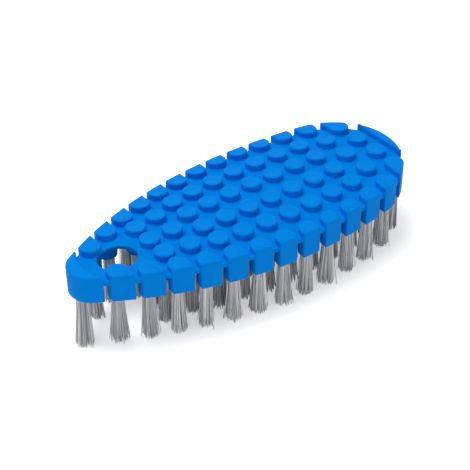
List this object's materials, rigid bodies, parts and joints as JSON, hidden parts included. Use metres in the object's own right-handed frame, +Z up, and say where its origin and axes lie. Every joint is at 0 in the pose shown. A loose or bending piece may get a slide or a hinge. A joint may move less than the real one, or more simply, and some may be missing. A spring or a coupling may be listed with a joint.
{
  "type": "palm scrubbing brush",
  "caption": "Leaf-shaped palm scrubbing brush: a crowned flexible body with rows of raised pads, a hanging hole and tufts of stiff bristles beneath.",
  "frame": {"origin": "on the plane of the bristle tips, under the middle of the body's length", "axes": "+Z up from the bristle tips to the pads, +X along the brush towards its wide end, +Y across it"},
  "size_m": [0.154, 0.064, 0.033],
  "materials": {
    "flexible_body": "satin soft moulding",
    "bristle_filament": "extruded filament",
    "anchor_wire": "flat drawn wire"
  },
  "bodies": {
    "hanging_end": {"body_hanging_end": "flexible_body", "tufts_hanging_end": "bristle_filament", "anchors_hanging_end": "anchor_wire"},
    "row_01": {"body_row_01": "flexible_body", "tufts_row_01": "bristle_filament", "anchors_row_01": "anchor_wire"},
    "row_02": {"body_row_02": "flexible_body", "tufts_row_02": "bristle_filament", "anchors_row_02": "anchor_wire"},
    "row_03": {"body_row_03": "flexible_body", "tufts_row_03": "bristle_filament", "anchors_row_03": "anchor_wire"},
    "row_04": {"body_row_04": "flexible_body", "tufts_row_04": "bristle_filament", "anchors_row_04": "anchor_wire"},
    "row_05": {"body_row_05": "flexible_body", "tufts_row_05": "bristle_filament", "anchors_row_05": "anchor_wire"},
    "row_06": {"body_row_06": "flexible_body", "tufts_row_06": "bristle_filament", "anchors_row_06": "anchor_wire"},
    "row_07": {"body_row_07": "flexible_body", "tufts_row_07": "bristle_filament", "anchors_row_07": "anchor_wire"},
    "row_08": {"body_row_08": "flexible_body", "tufts_row_08": "bristle_filament", "anchors_row_08": "anchor_wire"},
    "row_09": {"body_row_09": "flexible_body", "tufts_row_09": "bristle_filament", "anchors_row_09": "anchor_wire"},
    "row_10": {"body_row_10": "flexible_body", "tufts_row_10": "bristle_filament", "anchors_row_10": "anchor_wire"},
    "wide_end": {"body_wide_end": "flexible_body", "tufts_wide_end": "bristle_filament", "anchors_wide_end": "anchor_wire"}
  },
  "joints": [
    {"name": "bend_hanging_end", "type": "hinge", "parent": "row_01", "child": "hanging_end", "pos_m": [-0.04698, 0, 0.02835], "axis": [0, 1, 0], "range_deg": [-8, 14], "stiffness_Nm_per_rad": 0.25},
    {"name": "bend_row_01", "type": "hinge", "parent": "row_02", "child": "row_01", "pos_m": [-0.03664, 0, 0.02835], "axis": [0, 1, 0], "range_deg": [-8, 14], "stiffness_Nm_per_rad": 0.25},
    {"name": "bend_row_02", "type": "hinge", "parent": "row_03", "child": "row_02", "pos_m": [-0.02621, 0, 0.02835], "axis": [0, 1, 0], "range_deg": [-8, 14], "stiffness_Nm_per_rad": 0.25},
    {"name": "bend_row_03", "type": "hinge", "parent": "row_04", "child": "row_03", "pos_m": [-0.01568, 0, 0.02835], "axis": [0, 1, 0], "range_deg": [-8, 14], "stiffness_Nm_per_rad": 0.25},
    {"name": "bend_row_04", "type": "hinge", "parent": "row_05", "child": "row_04", "pos_m": [-0.00504, 0, 0.02835], "axis": [0, 1, 0], "range_deg": [-8, 14], "stiffness_Nm_per_rad": 0.25},
    {"name": "bend_row_06", "type": "hinge", "parent": "row_05", "child": "row_06", "pos_m": [0.00569, 0, 0.02835], "axis": [0, -1, 0], "range_deg": [-8, 14], "stiffness_Nm_per_rad": 0.25},
    {"name": "bend_row_07", "type": "hinge", "parent": "row_06", "child": "row_07", "pos_m": [0.01653, 0, 0.02835], "axis": [0, -1, 0], "range_deg": [-8, 14], "stiffness_Nm_per_rad": 0.25},
    {"name": "bend_row_08", "type": "hinge", "parent": "row_07", "child": "row_08", "pos_m": [0.02746, 0, 0.02835], "axis": [0, -1, 0], "range_deg": [-8, 14], "stiffness_Nm_per_rad": 0.25},
    {"name": "bend_row_09", "type": "hinge", "parent": "row_08", "child": "row_09", "pos_m": [0.03849, 0, 0.02835], "axis": [0, -1, 0], "range_deg": [-8, 14], "stiffness_Nm_per_rad": 0.25},
    {"name": "bend_row_10", "type": "hinge", "parent": "row_09", "child": "row_10", "pos_m": [0.04963, 0, 0.02835], "axis": [0, -1, 0], "range_deg": [-8, 14], "stiffness_Nm_per_rad": 0.25},
    {"name": "bend_wide_end", "type": "hinge", "parent": "row_10", "child": "wide_end", "pos_m": [0.06086, 0, 0.02835], "axis": [0, -1, 0], "range_deg": [-8, 14], "stiffness_Nm_per_rad": 0.25}
  ]
}
